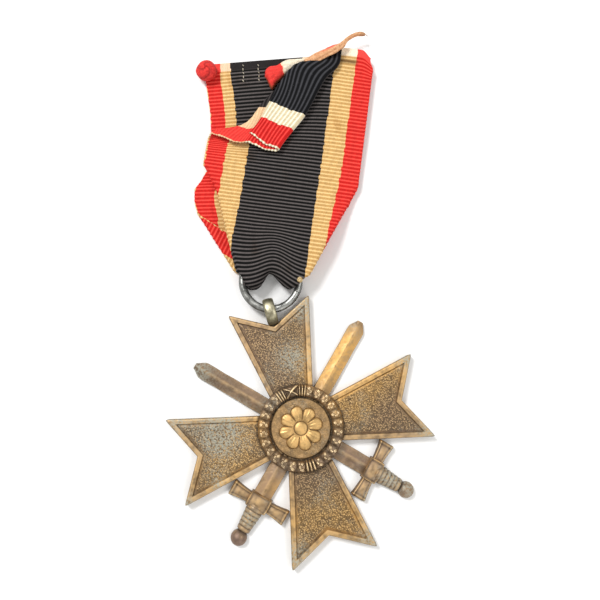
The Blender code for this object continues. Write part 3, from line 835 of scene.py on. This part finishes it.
def front_layer(s, length):
    """The front of the strip lying flat, its upper left folded over into a flap and its end turned
    back: on top of the flap, and behind at the top right. Returns places, heights and the flap."""
    past = np.clip(length - END, 0, None)
    roll = 0.28 + 0.4 * smooth(s, 22, 25.5)
    arc = np.clip(past, 0, math.pi * roll)
    tucked = np.minimum(length, END) + roll * np.sin(arc / roll) - np.clip(past - math.pi * roll, 0, None)
    inward = np.interp(past, [0, 1.8, 4.4, HEM], [0.2, 0.6, 0.9, 2.1]) * (past > 0) * (1 - smooth(s, 3, 14))
    slant = 8.1 * (1 - smooth(s, -6, 25)) * smooth(length, 48, 68)
    rounded = 1.7 * smooth(s, 27.8, WIDTH + 0.4) ** 2 * smooth(length, END - 7, END)
    u = tucked - slant - rounded
    v = LEFT_EDGE + s + inward - 0.8 * smooth(s, 27, WIDTH) * smooth(tucked, END - 2.5, END)
    place = v[..., None] * ACROSS + u[..., None] * UP
    place, rise = fold(place, FLAP_START, (26.9, 71.2), 0.42)
    flap = smooth(rise, 0.3, 0.8)
    run = np.array([0.9306, 0.3659])
    out = np.array([-run[1], run[0]])
    a, off = (place - FLAP_START) @ run, (place - FLAP_START) @ out
    warp = -2.2 * bell(a, 7.3, 4.6) + 2.1 * bell(a, 22.5, 4.5)
    place = place + (warp * bell(off, 0, 3.2))[..., None] * out
    low = flap * bell(s, 0, 3.5)
    stations = [58, 60, 64, 66, 68, 70, 72, 74, END]
    moved = [
        np.interp(tucked, stations, [0, -0.2, 0, -0.05, -0.1, -0.4, -0.8, -1.2, -1.7]),
        np.interp(tucked, stations, [0, 0.6, 0.2, -0.4, -0.5, -0.1, -0.4, -0.8, -0.5]),
    ]
    corner = flap * bell(s, 20, 3) * smooth(tucked, 70, END)
    middle = flap * bell(s, 8.5, 3.2) * smooth(tucked, 66, END)
    place = place + np.stack([
        low * moved[0] + 0.6 * corner - 0.7 * middle, low * moved[1] - 0.9 * corner - 1.1 * middle,
    ], -1)
    height = FRONT_HEIGHT + 0.12 * waves(place[..., 0], place[..., 1], 9.0, 5)
    bow = 0.3 * flap * bell(s, 1, 5) + 0.2 * flap * np.sin(a * 0.35)
    lip = 0.35 * smooth(length, END - 5, END) * smooth(s, 22, 27)
    over = (2 * flap - 1) * roll * (1 - np.cos(arc / roll))
    return place, height + rise + bow + lip + over, flap


def gather(place, s):
    """The sides of the front folded under towards the ring. Returns places and how deep they lie."""
    side = np.interp(place[..., 1], [20, 30, 48.6, 53.8, 58, 62], [-4, -4, -3.9, -4.9, -6.5, -9])
    past = np.where(s < WIDTH / 2, side - place[..., 0], -1)
    roll = 0.2
    arc = np.clip(past, 0, math.pi * roll)
    moved = roll * np.sin(arc / roll) - np.clip(past - math.pi * roll, 0, None)
    left_depth = roll * (1 - np.cos(arc / roll))
    left = np.stack([np.where(past > 0, side - moved, place[..., 0]), place[..., 1]], -1)
    right, right_depth = fold(place, (22.4, 42.2), (8.2, 27.0), 0.38)
    place = np.where((s < WIDTH / 2)[..., None], left, right)
    depth = np.where(s < WIDTH / 2, left_depth, right_depth)
    f, g = place @ EDGE_ALONG, place @ EDGE_UP
    lift = 2.2 * bell(f, -5.2, 3.4) * (1 - smooth(g, 28, 40))
    lift = lift - 1.15 * np.clip(past, 0, 12) * (1 - smooth(g, 30, 50))
    return place + lift[..., None] * EDGE_UP, depth


def back_layer(s, length):
    """The back of the strip: its lower sides and its top right corner are folded forward."""
    b = BACK_ZERO - length
    high = smooth(b, 22, 32)
    squeezed = np.interp(s, [0, 3.8, 8.2, 16, WIDTH], [0, 3.0, 5.2, 14.5, WIDTH])
    s = s * (1 - high) + (squeezed + np.minimum(s, 0)) * high
    share = (s / WIDTH)[..., None]
    place = (1 - share) * along_curve(BACK_LEFT, b) + share * along_curve(BACK_RIGHT, b * 1.06)
    height = BACK_HEIGHT + 0.08 * (1 + waves(place[..., 0], place[..., 1], 7.0, 9)) * smooth(b, 8, 16)
    place, rise = fold(place, (-4.0, 30.6), (-8.9, 46.0), 0.2)
    place, more = fold(place, (22.5, 41.5), (8.8, 26.7), 0.3)
    place, corner = fold(place, (20.7, 72.6), (27.0, 48.0), 0.24)
    return place, height, rise + more + corner


def ring_edge(f):
    """How far along EDGE_UP the cloth's lowest edge lies inside the ring: two lobes with a hollow between."""
    wide = np.where(f < -6.2, 1.9, 3.0)
    edge = 26.05 + 3.25 * bell(f, -6.2, wide)
    return edge + 1.9 * smooth(-f, 10.5, 11.7) + 1.3 * smooth(f, -0.5, 0.6)


def strip_surface(s, length):
    """The middle of the whole strip: down the front, through the ring and up the back."""
    place, height, flap = front_layer(s, length)
    place, depth = gather(place, s)
    f, g = place @ EDGE_ALONG, place @ EDGE_UP
    h = g - ring_edge(f) - 0.9 * depth
    behind = np.maximum.accumulate(h < TURN_REACH - TURN_LENGTH, axis=0)
    first = behind.argmax(0)
    columns = np.arange(s.shape[1])
    f = np.where(behind, f[first, columns], f)
    depth = np.where(behind, depth[first, columns], depth)
    below = np.where(behind, length[first, columns] - length, 0)
    h = np.where(behind, TURN_REACH - TURN_LENGTH - below, h)
    free = 40 * smooth(h, 0.5, 5)
    f = np.clip(f, RING_LEFT - free, RING_RIGHT + free)
    edge = ring_edge(f) + 0.9 * depth
    turn = np.clip((TURN_REACH - h) / TURN_LENGTH, 0, 1) * math.pi
    g = np.where(h > TURN_REACH, g, edge + TURN_REACH * (1 - np.sin(turn)) + below)
    lift = 1 - smooth(g, 34.5, 46)
    front_z = height * (1 - lift) + GATHER_HEIGHT * lift - depth
    back_z = 0.2 + 0.72 * depth
    z = back_z + (front_z - back_z) * (1 + np.cos(turn)) / 2
    f = -5.9 + (f + 5.9) * (1 - 0.24 * np.sin(turn) ** 2)
    here = f[..., None] * EDGE_ALONG + g[..., None] * EDGE_UP
    there, level, rise = back_layer(s, length)
    gone = 0.5 + smooth(s, 8, 14)
    share = smooth(below, gone, 4.2 + 4.8 * smooth(s, 8, 14))
    here = here * (1 - share[..., None]) + there * share[..., None]
    z = z * (1 - share) + (level + rise) * share
    return np.concatenate([here, z[..., None]], -1), flap


def build_ribbon(look):
    """One woven strip with raised ribs on both faces and picot loops along its selvedges."""
    ribs = round((END + HEM - BACK_END) / RIB)
    length = np.linspace(END + HEM, BACK_END, ribs * 5 + 1)[:, None]
    inner = np.concatenate([[0, 0.3], np.linspace(0.7, WIDTH - 0.7, 66), [WIDTH - 0.3, WIDTH]])
    picot = 0.17 * np.abs(np.cos(math.pi * length / RIB)) ** 0.7 * (1 - 0.5 * smooth(-length, -26, -20))
    s = np.concatenate([-picot, inner[None, :] + 0 * length, WIDTH + 0.4 * picot], 1)
    length = length + 0 * s
    middle, flap = strip_surface(s, length)
    # Painted highlight on the roll at the top right end: it takes the pale, flat colours.
    rolled = smooth(length, END - 1.5, END - 1.0) * smooth(s, 21, 23) * (1 - flap)
    bare = flap * smooth(length, 58, 60) * (1 - smooth(length, END - HEM + 0.1, END - HEM + 0.4))
    seam = 1 - smooth(length, BACK_END + 1.7, BACK_END + 2.0)
    plain = np.clip(np.maximum(np.maximum(0.6 * bare, rolled), seam), 0, 1)
    side = np.cross(np.gradient(middle, axis=1), -np.gradient(middle, axis=0))
    side /= np.maximum(np.linalg.norm(side, axis=-1, keepdims=True), 1e-9)
    relief = 0.11 * np.abs(np.cos(math.pi * length / RIB)) ** 0.8 * (1 + 0.25 * waves(s, length, 1.5, 2))
    half = (0.09 + relief * (1 - 0.75 * plain))[..., None]
    half[:, [0, -1]] = 0.09
    rows, columns = length.shape
    points = np.concatenate([middle + side * half, (middle - side * half)[:, ::-1]], 1)
    faces = grid_faces(rows, 2 * columns, False, True)
    caps = []
    for row in (0, rows - 1):
        first = row * 2 * columns
        for j in range(columns - 1):
            quad = (first + j, first + j + 1, first + 2 * columns - 2 - j, first + 2 * columns - 1 - j)
            caps.append(quad if row else quad[::-1])
    faces = np.concatenate([faces, caps])
    worn = smooth(waves(s, length, 4.0, 12), 0.2, 0.8)
    shadow = np.exp(-(((length - END + 2.5) / 0.45) ** 2)) * smooth(s, 22, 23)
    shadow *= (1 - smooth(s, 27, 28)) * (1 - flap)
    slant = 1.4 * smooth(s, 22.3, 25.3) * (1 - smooth(s, 29, 31)) * bell(length, 33, 12)
    # The pale mark is the paler back of the cloth on the flap, plus the painted highlight on the roll.
    marks = both_sides({
        "across": np.where((length < 6) & (s < 0.2), 0.2, s) + slant, "along": length,
        "pale": np.clip(flap * (1 - bare) + rolled, 0, 1), "stain": worn, "plain": plain, "shadow": shadow,
    })
    made = make_piece("ribbon_strip", [(points, faces)], look, None, marks=marks, angle=180)
    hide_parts("ribbon_loop", "ribbon_front", "ribbon_back", "ribbon_flap")
    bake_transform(made)
    return made


def stripes(tree, share, red, cream, black):
    """Picots, red, cream, black, cream and red, across the width from 0 to 1."""
    made = tree.nodes.new("ShaderNodeValToRGB")
    tree.links.new(share, made.inputs[0])
    band = made.color_ramp
    band.interpolation = "CONSTANT"
    first, second = band.elements
    first.color = (*cream, 1)
    second.position, second.color = 0.002, (*red, 1)
    for place, colour in ((3.8, cream), (8.2, black), (23.1, cream), (27.3, red)):
        band.elements.new(place / WIDTH).color = (*colour, 1)
    return made.outputs[0]


def ribbon_look():
    """Ribbed silk whose stripes change colour rib by rib, with painted highlights on the ribs' crests and
    painted shade between the ribs, a painted shadow where the shadow mark lies, stained and rubbed.
    """
    made, tree, shader = shader_of("ribbon_silk")
    across, along = kept(tree, "across"), kept(tree, "along")
    rib = maths(tree, "DIVIDE", along, RIB)
    number = maths(tree, "ROUND", rib)
    valley = maths(tree, "ABSOLUTE", maths(tree, "SUBTRACT", rib, number))
    jitter = add(tree, "TexWhiteNoise", {"W": number}, noise_dimensions="1D")
    jagged = maths(tree, "ADD", across, times(tree, maths(tree, "SUBTRACT", jitter, 0.5), 0.26))
    share = maths(tree, "DIVIDE", jagged, WIDTH)
    pale = kept(tree, "pale")
    # Painted light: the crests of the ribs take lit colours, the hollows between them shaded ones.
    lit_tops = stripes(tree, share, (0.87, 0.075, 0.058), (0.85, 0.585, 0.265), (0.115, 0.10, 0.096))
    tops_pale = stripes(tree, share, (0.86, 0.06, 0.05), (0.93, 0.88, 0.72), (0.05, 0.05, 0.056))
    shaded_dips = stripes(tree, share, (0.56, 0.014, 0.011), (0.55, 0.32, 0.11), (0.002, 0.0018, 0.0018))
    dips_pale = stripes(tree, share, (0.5, 0.010, 0.009), (0.66, 0.56, 0.36), (0.003, 0.003, 0.004))
    lit_tops, shaded_dips = mixed(tree, pale, lit_tops, tops_pale), mixed(tree, pale, shaded_dips, dips_pale)
    weave = add(tree, "CombineXYZ", {0: times(tree, across, 4.0), 1: along})
    threads = add(tree, "TexNoise", {"Vector": weave, "Scale": 2.2, "Detail": 3.0})
    stains = add(tree, "TexNoise", {"Vector": weave, "Scale": 0.09, "Detail": 4.0})
    colour = mixed(tree, ramp(tree, valley, 0.04, 0.33), lit_tops, shaded_dips)
    bare = stripes(tree, share, (0.80, 0.055, 0.045), (0.86, 0.60, 0.40), (0.02, 0.017, 0.017))
    white = times(tree, pale, 0.8)
    bare_pale = stripes(tree, share, (0.84, 0.07, 0.06), (0.93, 0.85, 0.68), (0.04, 0.04, 0.045))
    bare = mixed(tree, white, bare, bare_pale)
    colour = mixed(tree, kept(tree, "plain"), colour, bare)
    colour = mixed(tree, kept(tree, "shadow"), colour, (0.16, 0.085, 0.03))
    rubbed = add(tree, "TexNoise", {"Vector": weave, "Scale": 0.34, "Detail": 3.0})
    shade = ramp(tree, threads, 0.3, 0.7, 0.8, 1.12)
    shade = times(tree, shade, ramp(tree, rubbed, 0.34, 0.66, 0.93, 1.06))
    colour = mixed(tree, 1.0, colour, add(tree, "CombineColor", {0: shade, 1: shade, 2: shade}), "MULTIPLY")
    lint = add(tree, "TexNoise", {"Vector": weave, "Scale": 3.1, "Detail": 2.0})
    colour = mixed(tree, ramp(tree, lint, 0.73, 0.8, 0.0, 0.55), colour, (0.55, 0.52, 0.5))
    spoilt = times(tree, ramp(tree, stains, 0.5, 0.72, 0.0, 0.5), kept(tree, "stain"))
    colour = mixed(tree, spoilt, colour, (0.62, 0.42, 0.2), "MULTIPLY")
    bump = add(tree, "Bump", {"Strength": 0.3, "Distance": 0.00005, "Height": threads})
    set_inputs(tree, shader, Base_Color=colour, Roughness=0.8, Normal=bump)
    shader.inputs["Specular IOR Level"].default_value = 0.12
    return made


def cloth_look(name, colour, shadow):
    """Plain fibres, patchy, with painted shade in their creases and red where the blush mark says so."""
    made, tree, shader = shader_of(name)
    fibres = spots(tree, 3000.0, 4.0)
    patches = spots(tree, 420.0)
    body = mixed(tree, ramp(tree, fibres, 0.35, 0.65), shadow, colour)
    body = mixed(tree, ramp(tree, patches, 0.5, 0.7, 0.0, 0.6), body, shadow)
    body = mixed(tree, kept(tree, "blush"), body, (0.80, 0.09, 0.06))
    # The grime mark darkens it: painted shade in creases and on undersides, and darker towards a frayed end.
    body = mixed(tree, kept(tree, "grime_and_shade"), body, [c * 0.35 for c in shadow])
    bump = add(tree, "Bump", {"Strength": 0.5, "Distance": 0.00008, "Height": fibres})
    set_inputs(tree, shader, Base_Color=body, Roughness=0.85, Normal=bump)
    return made


def tube(route, radii, sides=12, flat=1.0, twist=0.0, ridges=0.0):
    """Rings round a route, flattened and twisted, with ridges like fibres."""
    route, radii = np.asarray(route, float), np.asarray(radii, float)
    run = np.gradient(route, axis=0)
    run /= np.linalg.norm(run, axis=1, keepdims=True)
    side = np.cross(run, [0, 0, 1.0])
    side /= np.maximum(np.linalg.norm(side, axis=1, keepdims=True), 1e-9)
    above = np.cross(side, run)
    rings = []
    for i, (here, radius) in enumerate(zip(route, radii)):
        a = full_turn(sides)
        turn = twist * i / len(route)
        swell = 1 + ridges * np.cos(a * 5 + turn * 3)
        u, v = radius * np.cos(a) * swell, radius * flat * np.sin(a) * swell
        p = u * math.cos(turn) - v * math.sin(turn)
        q = u * math.sin(turn) + v * math.cos(turn)
        rings.append(here + np.outer(p, side[i]) + np.outer(q, above[i]))
    return skin(rings)


def smooth_route(corners, count):
    """A smooth curve through corners, as evenly numbered points."""
    corners = np.array(corners, float)
    ends = [2 * corners[0] - corners[1], 2 * corners[-1] - corners[-2]]
    padded = np.concatenate([ends[:1], corners, ends[1:]])
    out = []
    for t in np.linspace(0, len(corners) - 1 - 1e-6, count):
        i, u = int(t), t - int(t)
        a, b, c, d = padded[i:i + 4]
        bend, twist = 2 * a - 5 * b + 4 * c - d, 3 * b - a - 3 * c + d
        out.append(0.5 * (2 * b + (c - a) * u + bend * u ** 2 + twist * u ** 3))
    return np.array(out)


def build_tail(look):
    """The twisted, frayed end that sticks out of the top fold."""
    steps = 160
    route = smooth_route([
        (19.8, 70.3, 2.4), (22.2, 70.7, 2.8), (24.2, 71.0, 3.1), (26.2, 71.4, 3.1), (28.0, 72.0, 3.0),
        (29.3, 73.0, 2.9), (30.9, 73.6, 2.8), (32.2, 73.75, 2.6), (33.4, 73.4, 2.5),
    ], steps)
    share = np.linspace(0, 1, steps)
    stations = [0, 0.15, 0.38, 0.52, 0.64, 0.8, 0.93, 1]
    sizes = np.interp(share, stations, [0.7, 1.0, 1.25, 0.9, 0.52, 0.42, 0.42, 0.22])
    sizes = sizes * (1 + 0.1 * waves(np.arange(steps) / 7, 0, 1, 4))
    shells = [tube(route, sizes, 40, 0.6, 2.6, 0.1)]
    for k in range(7):
        fibre = np.array([
            (33.0, 73.5, 2.5), (33.6 + 0.2 * k, 73.3 + 0.12 * k, 2.5), (33.9 + 0.2 * k, 73.0 + 0.25 * k, 2.2),
        ])
        fibre = smooth_route(fibre - [0.35 * k, 0.02 * k, 0], 10)
        shells.append(tube(fibre, np.full(len(fibre), 0.05), 6))
    points = np.concatenate([np.reshape(p, (-1, 3)) for p, _ in shells])
    x, y = points[:, 0], points[:, 1]
    middle = np.interp(x, route[:, 0], route[:, 1])
    # Painted shade on the low side of the tail, next to the ribbon under it; darker towards the frayed end.
    marks = {
        "grime_and_shade": 0.4 * (1 - smooth(points[:, 2], 2.0, 2.8)) + 0.5 * smooth(x, 31.5, 33.2),
        "blush": smooth(y - middle, 0.0, 0.5) * bell(x, 25.6, 1.7),
    }
    body, slot, node = "ribbon", "faded_ribbon", "ribbon_tail"
    return make_piece("tail_twisted", shells, look, body, [node], marks, angle=60)


def build_knob(name, centre, radius, look, body):
    """A bit of the strip's edge rolled into a small tight knob."""
    a = full_turn(72)[None, :]
    b = np.linspace(0.03, math.pi - 0.03, 48)[:, None]
    crease = np.abs(np.sin(1.5 * a + 2.4 * b)) ** 0.4
    size = radius * (0.9 + 0.12 * crease + 0.04 * waves(a * 2, b * 3, 1.0, 6))
    x = centre[0] + size * np.sin(b) * np.cos(a)
    y = centre[1] + size * np.sin(b) * np.sin(a)
    z = centre[2] + size * np.cos(b) * 0.8
    points, faces = skin(np.stack([x, y, z + 0 * a], -1))
    # Painted shade in the creases of the knob.
    grime_and_shade = 0.8 * (1 - np.concatenate([crease[:1], crease, crease[-1:]]))
    return make_piece(name, [(points, faces)], look, body, marks={"grime_and_shade": grime_and_shade})


def build_folded_corner(look):
    """The top right corner of the back, folded forward: a puffed red point and a white band."""
    top = [
        (11.2, 70.4), (11.7, 71.6), (12.8, 72.2), (14.2, 72.1), (15.3, 72.5), (16.6, 72.8), (18.4, 72.5),
        (20.2, 72.1), (21.4, 71.7),
    ]
    low = [
        (11.2, 70.3), (11.4, 69.4), (11.9, 67.2), (13.2, 68.2), (15.0, 69.4), (16.2, 70.1), (17.9, 70.8),
        (19.8, 71.1), (21.4, 71.2),
    ]
    rows, columns = 120, 40
    top = smooth_route([(*p, 0) for p in top], rows)[:, None, :2]
    low = smooth_route([(*p, 0) for p in low], rows)[:, None, :2]
    v = np.linspace(0, 1, columns)[None, :, None]
    flat = low + (top - low) * v
    along = np.linspace(0, 1, rows)[:, None]
    dome = (4 * v[..., 0] * (1 - v[..., 0])) ** 0.5 * np.minimum(1, np.sin(np.pi * along) * 2.2) ** 0.5
    puff = 0.75 + 0.5 * bell(along, 0.25, 0.16)
    z = 0.75 + dome * puff * (1 + 0.12 * waves(flat[..., 0], flat[..., 1], 0.6, 3))
    points = over_flat(flat[..., 0], flat[..., 1], z, 0.7)
    faces = grid_faces(rows, 2 * columns, False, True, flip=True)
    x = flat[..., 0]
    across = np.interp(x, [11, 15.2, 21.4], [31, 27.3, 23.3])
    marks = both_sides({
        "across": across, "along": flat[..., 1], "plain": 0.8 + 0 * x, "pale": smooth(x, 15, 15.6),
        "stain": 0 * x, "shadow": 0.7 * (1 - smooth(v[..., 0] + 0 * x, 0.02, 0.16)),
    })
    return make_piece("corner_folded", [(points, faces)], look, "ribbon", marks=marks)


def build_stitches(name, top, bottom, node, look):
    """The stubs of a row of cut stitches."""
    shells = []
    top, bottom = np.array(top, float), np.array(bottom, float)
    count, shape = 5, np.array([0.5, 0.9, 1, 1, 1, 0.9, 0.8, 0.4])
    for k in range(count):
        here = top + (bottom - top) * (k + 0.5) / count + 0.12 * np.array([scatter(k, 1, 3) - 0.5, 0, 0])
        run = np.array([0.1, 0.42, 0.0]) if k % 2 else np.array([-0.16, 0.32, 0.0])
        ends = here - run * 0.6 - [0, 0, 0.15], here + run * 0.6 - [0, 0, 0.12]
        route = smooth_route([ends[0], here, ends[1]], len(shape))
        shells.append(tube(route, shape * (0.07 + 0.05 * scatter(k, 2, 3)), 8))
    points = np.concatenate([np.reshape(p, (-1, 3)) for p, _ in shells])
    return make_piece(name, shells, look, "ribbon", [node], {"grime_and_shade": 0 * points[:, 0]})


# ---------------------------------------------------------------- the stage

def build_camera():
    lens = bpy.data.cameras.new("camera")
    lens.lens = 36.0
    lens.sensor_width = 36.0
    lens.clip_start = 0.005
    lens.clip_end = 5.0
    made = bpy.data.objects.new("camera", lens)
    bpy.context.scene.collection.objects.link(made)
    look = Vector((0.0677, 0.1478, -0.9867)).normalized()
    side = look.cross(Vector((0.251, 0.9546, 0.1602))).normalized()
    up = side.cross(look)
    made.matrix_world = Matrix.Translation(Vector((-1.72, 6.29, 115.51)) * MM) @ Matrix(
        [(side.x, up.x, -look.x, 0), (side.y, up.y, -look.y, 0), (side.z, up.z, -look.z, 0), (0, 0, 0, 1)]
    )
    bpy.context.scene.camera = made


def build_light(name, place, size, power, target=(0.003, 0.022, 0.0)):
    lamp = bpy.data.lights.new(name, "AREA")
    lamp.shape = "DISK"
    lamp.size = size
    lamp.energy = power
    made = bpy.data.objects.new(name, lamp)
    bpy.context.scene.collection.objects.link(made)
    made.location = place
    made.rotation_euler = (Vector(target) - Vector(place)).to_track_quat("-Z", "Y").to_euler()


def build_stage():
    build_camera()
    build_light("key", (-0.16, 0.30, 0.42), 0.16, 2.0)
    build_light("fill", (0.34, -0.05, 0.40), 0.34, 0.7)
    build_light("low", (0.05, -0.36, 0.22), 0.22, 0.35)
    world = bpy.data.worlds.new("studio")
    world.use_nodes = True
    world.node_tree.nodes["Background"].inputs[0].default_value = (1.0, 0.99, 0.97, 1.0)
    world.node_tree.nodes["Background"].inputs[1].default_value = 0.55
    bpy.context.scene.world = world
    bpy.context.scene.view_settings.view_transform = "Standard"
    look, tree, shader = shader_of("floor")
    set_inputs(tree, shader, Base_Color=(0.93, 0.93, 0.925, 1.0), Roughness=0.9)
    shader.inputs["Specular IOR Level"].default_value = 0.1
    mesh = bpy.data.meshes.new("floor")
    mesh.from_pydata([(-2, -2, -3e-5), (2, -2, -3e-5), (2, 2, -3e-5), (-2, 2, -3e-5)], [], [(0, 1, 2, 3)])
    mesh.materials.append(look)
    floor = bpy.data.objects.new("floor", mesh)
    bpy.context.scene.collection.objects.link(floor)


build_stage()
build_cross()
build_wreath()
build_disc()
build_rosette()
build_sword("sword_left_forged", 45, "sword_left", 5)
build_sword("sword_right_forged", -45, "sword_right", 9)
build_eyelet()
build_ring()
SILK = ribbon_look()
build_ribbon(SILK)
build_folded_corner(SILK)
build_tail(cloth_look("faded_silk", (0.78, 0.46, 0.24), (0.55, 0.25, 0.11)))
RED_SILK = cloth_look("red_silk", (0.82, 0.04, 0.03), (0.55, 0.014, 0.012))
build_knob("corner_rolled", (-0.1, 73.9, 1.75), 2.1, RED_SILK, "ribbon")
COTTON = cloth_look("cotton", (0.62, 0.57, 0.46), (0.36, 0.31, 0.22))
GOLD_SILK = cloth_look("gold_silk", (0.74, 0.57, 0.3), (0.36, 0.22, 0.08))
build_knob("selvedge_knot", (6.9, 26.7, 4.3), 0.55, GOLD_SILK, "loop")
build_stitches("stitches_left", (7.6, 74.3, 0.72), (6.6, 70.2, 0.72), "thread_left", COTTON)
build_stitches("stitches_right", (10.6, 73.6, 0.72), (9.8, 69.6, 0.72), "thread_right", COTTON)
